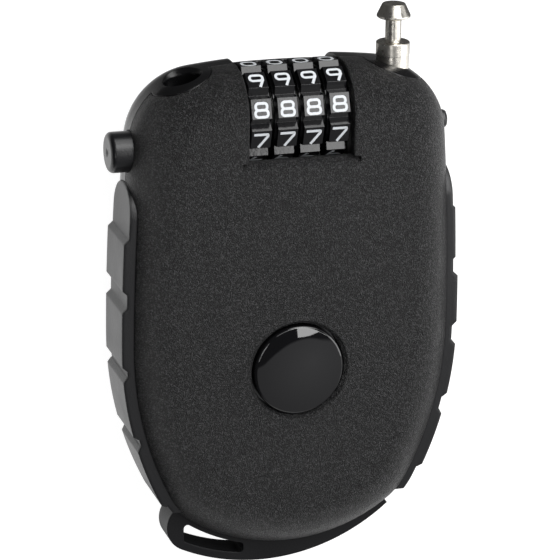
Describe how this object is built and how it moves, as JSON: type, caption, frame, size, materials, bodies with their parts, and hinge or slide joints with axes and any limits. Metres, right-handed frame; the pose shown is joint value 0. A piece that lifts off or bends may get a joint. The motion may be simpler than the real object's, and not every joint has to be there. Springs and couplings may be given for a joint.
{
  "type": "retractable cable lock",
  "caption": "Compact combination lock with a retractable cable: rounded case, printed dials, side release button, locking pin and socket, reel brake button and lanyard foot.",
  "frame": {"origin": "middle of the lock's overall length and width, on its flat back face", "axes": "+X to the right across the face, +Y up the face towards the dials and the locking pin, +Z out of the front face; the lock lies on its back"},
  "size_m": [0.0554, 0.089, 0.019],
  "materials": {
    "front_shell": "fine grain, satin",
    "back_shell": "smooth satin",
    "grips": "smooth satin, moulded lugs",
    "foot": "smooth satin",
    "screws": "zinc plated",
    "frame_steel": "pressed and turned steel",
    "spring_steel": "drawn spring steel",
    "dark_plastic": "smooth",
    "dials": "smooth black with white printed digits",
    "sleeves": "turned",
    "latch_steel": "turned and milled",
    "button": "polished black",
    "disc": "pressed",
    "brake_rubber": "moulded",
    "reel": "natural",
    "cable": "stranded, clear coated",
    "crimps": "crimped",
    "pin": "nickel plated, turned"
  },
  "bodies": {
    "case": {"front_shell": "front_shell", "back_shell": "back_shell", "left_grip": "grips", "right_grip": "grips", "lanyard_foot": "foot", "case_screws": "screws", "dial_frame": "frame_steel", "frame_screws": "screws", "detent_spring": "spring_steel", "release_spring": "spring_steel", "sleeve_spring": "spring_steel", "code_spring": "spring_steel", "ejector_spring": "spring_steel", "exit_bush": "dark_plastic", "thrust_washer": "dark_plastic", "power_spring": "spring_steel", "brake_spring": "spring_steel", "cable_lead": "cable"},
    "code_set": {"code_set_pin": "dark_plastic", "reset_fork": "frame_steel"},
    "latch": {"release_button": "dark_plastic", "latch_bolt": "latch_steel", "latch_spindle": "latch_steel"},
    "dial_1": {"dial_1": "dials"},
    "sleeve_1": {"code_sleeve_1": "sleeves"},
    "dial_2": {"dial_2": "dials"},
    "sleeve_2": {"code_sleeve_2": "sleeves"},
    "dial_3": {"dial_3": "dials"},
    "sleeve_3": {"code_sleeve_3": "sleeves"},
    "dial_4": {"dial_4": "dials"},
    "sleeve_4": {"code_sleeve_4": "sleeves"},
    "ejector": {"ejector": "dark_plastic"},
    "brake": {"brake_button": "button", "brake_disc": "disc", "brake_pad": "brake_rubber", "stem_screw": "screws"},
    "reel": {"cable_reel": "reel", "reel_cap": "reel", "cable_winding": "cable", "cable_crimp": "crimps"},
    "pin": {"locking_pin": "pin", "pin_ferrule": "crimps"}
  },
  "joints": [
    {"name": "dial_1_turn", "type": "hinge", "parent": "case", "child": "dial_1", "pos_m": [-0.00619, 0.02845, 0.0096], "axis": [1, 0, 0], "continuous": true, "deforming": ["detent_spring"]},
    {"name": "dial_2_turn", "type": "hinge", "parent": "case", "child": "dial_2", "pos_m": [-0.00206, 0.02845, 0.0096], "axis": [1, 0, 0], "continuous": true, "deforming": ["detent_spring"]},
    {"name": "dial_3_turn", "type": "hinge", "parent": "case", "child": "dial_3", "pos_m": [0.00206, 0.02845, 0.0096], "axis": [1, 0, 0], "continuous": true, "deforming": ["detent_spring"]},
    {"name": "dial_4_turn", "type": "hinge", "parent": "case", "child": "dial_4", "pos_m": [0.00619, 0.02845, 0.0096], "axis": [1, 0, 0], "continuous": true, "deforming": ["detent_spring"]},
    {"name": "code_set_slide", "type": "slide", "parent": "case", "child": "code_set", "axis": [1, 0, 0], "range_m": [-0.001, 0], "stiffness_N_per_m": 400, "springref_m": 0.002, "deforming": ["code_spring", "sleeve_spring"]},
    {"name": "sleeve_1_turn", "type": "hinge", "parent": "code_set", "child": "sleeve_1", "pos_m": [-0.00619, 0.02845, 0.0096], "axis": [1, 0, 0], "continuous": true},
    {"name": "sleeve_2_turn", "type": "hinge", "parent": "code_set", "child": "sleeve_2", "pos_m": [-0.00206, 0.02845, 0.0096], "axis": [1, 0, 0], "continuous": true},
    {"name": "sleeve_3_turn", "type": "hinge", "parent": "code_set", "child": "sleeve_3", "pos_m": [0.00206, 0.02845, 0.0096], "axis": [1, 0, 0], "continuous": true},
    {"name": "sleeve_4_turn", "type": "hinge", "parent": "code_set", "child": "sleeve_4", "pos_m": [0.00619, 0.02845, 0.0096], "axis": [1, 0, 0], "continuous": true},
    {"name": "release_slide", "type": "slide", "parent": "case", "child": "latch", "axis": [1, 0, 0], "range_m": [0, 0.0019], "stiffness_N_per_m": 600, "springref_m": -0.003, "deforming": ["release_spring"]},
    {"name": "ejector_slide", "type": "slide", "parent": "case", "child": "ejector", "axis": [0, 1, 0], "range_m": [-0.0012, 0], "stiffness_N_per_m": 300, "springref_m": 0.002, "deforming": ["ejector_spring"]},
    {"name": "brake_slide", "type": "slide", "parent": "case", "child": "brake", "axis": [0, 0, 1], "range_m": [-0.0015, 0], "stiffness_N_per_m": 600, "springref_m": 0.002, "deforming": ["brake_spring"]},
    {"name": "reel_turn", "type": "hinge", "parent": "case", "child": "reel", "pos_m": [0, -0.011, 0.009], "axis": [0, 0, 1], "range_deg": [0, 2160], "stiffness_Nm_per_rad": 0.0006, "springref_deg": -2291.83, "deforming": ["power_spring", "cable_lead"]},
    {"name": "pin_slide", "type": "slide", "parent": "case", "child": "pin", "axis": [0, 1, 0], "range_m": [0, 0.545], "deforming": ["cable_lead"]}
  ],
  "couplings": [
    {"joint": "sleeve_1_turn", "follows": "dial_1_turn", "ratio": 1},
    {"joint": "sleeve_2_turn", "follows": "dial_2_turn", "ratio": 1},
    {"joint": "sleeve_3_turn", "follows": "dial_3_turn", "ratio": 1},
    {"joint": "sleeve_4_turn", "follows": "dial_4_turn", "ratio": 1},
    {"joint": "pin_slide", "follows": "reel_turn", "m_per_rad": 0.01445}
  ]
}
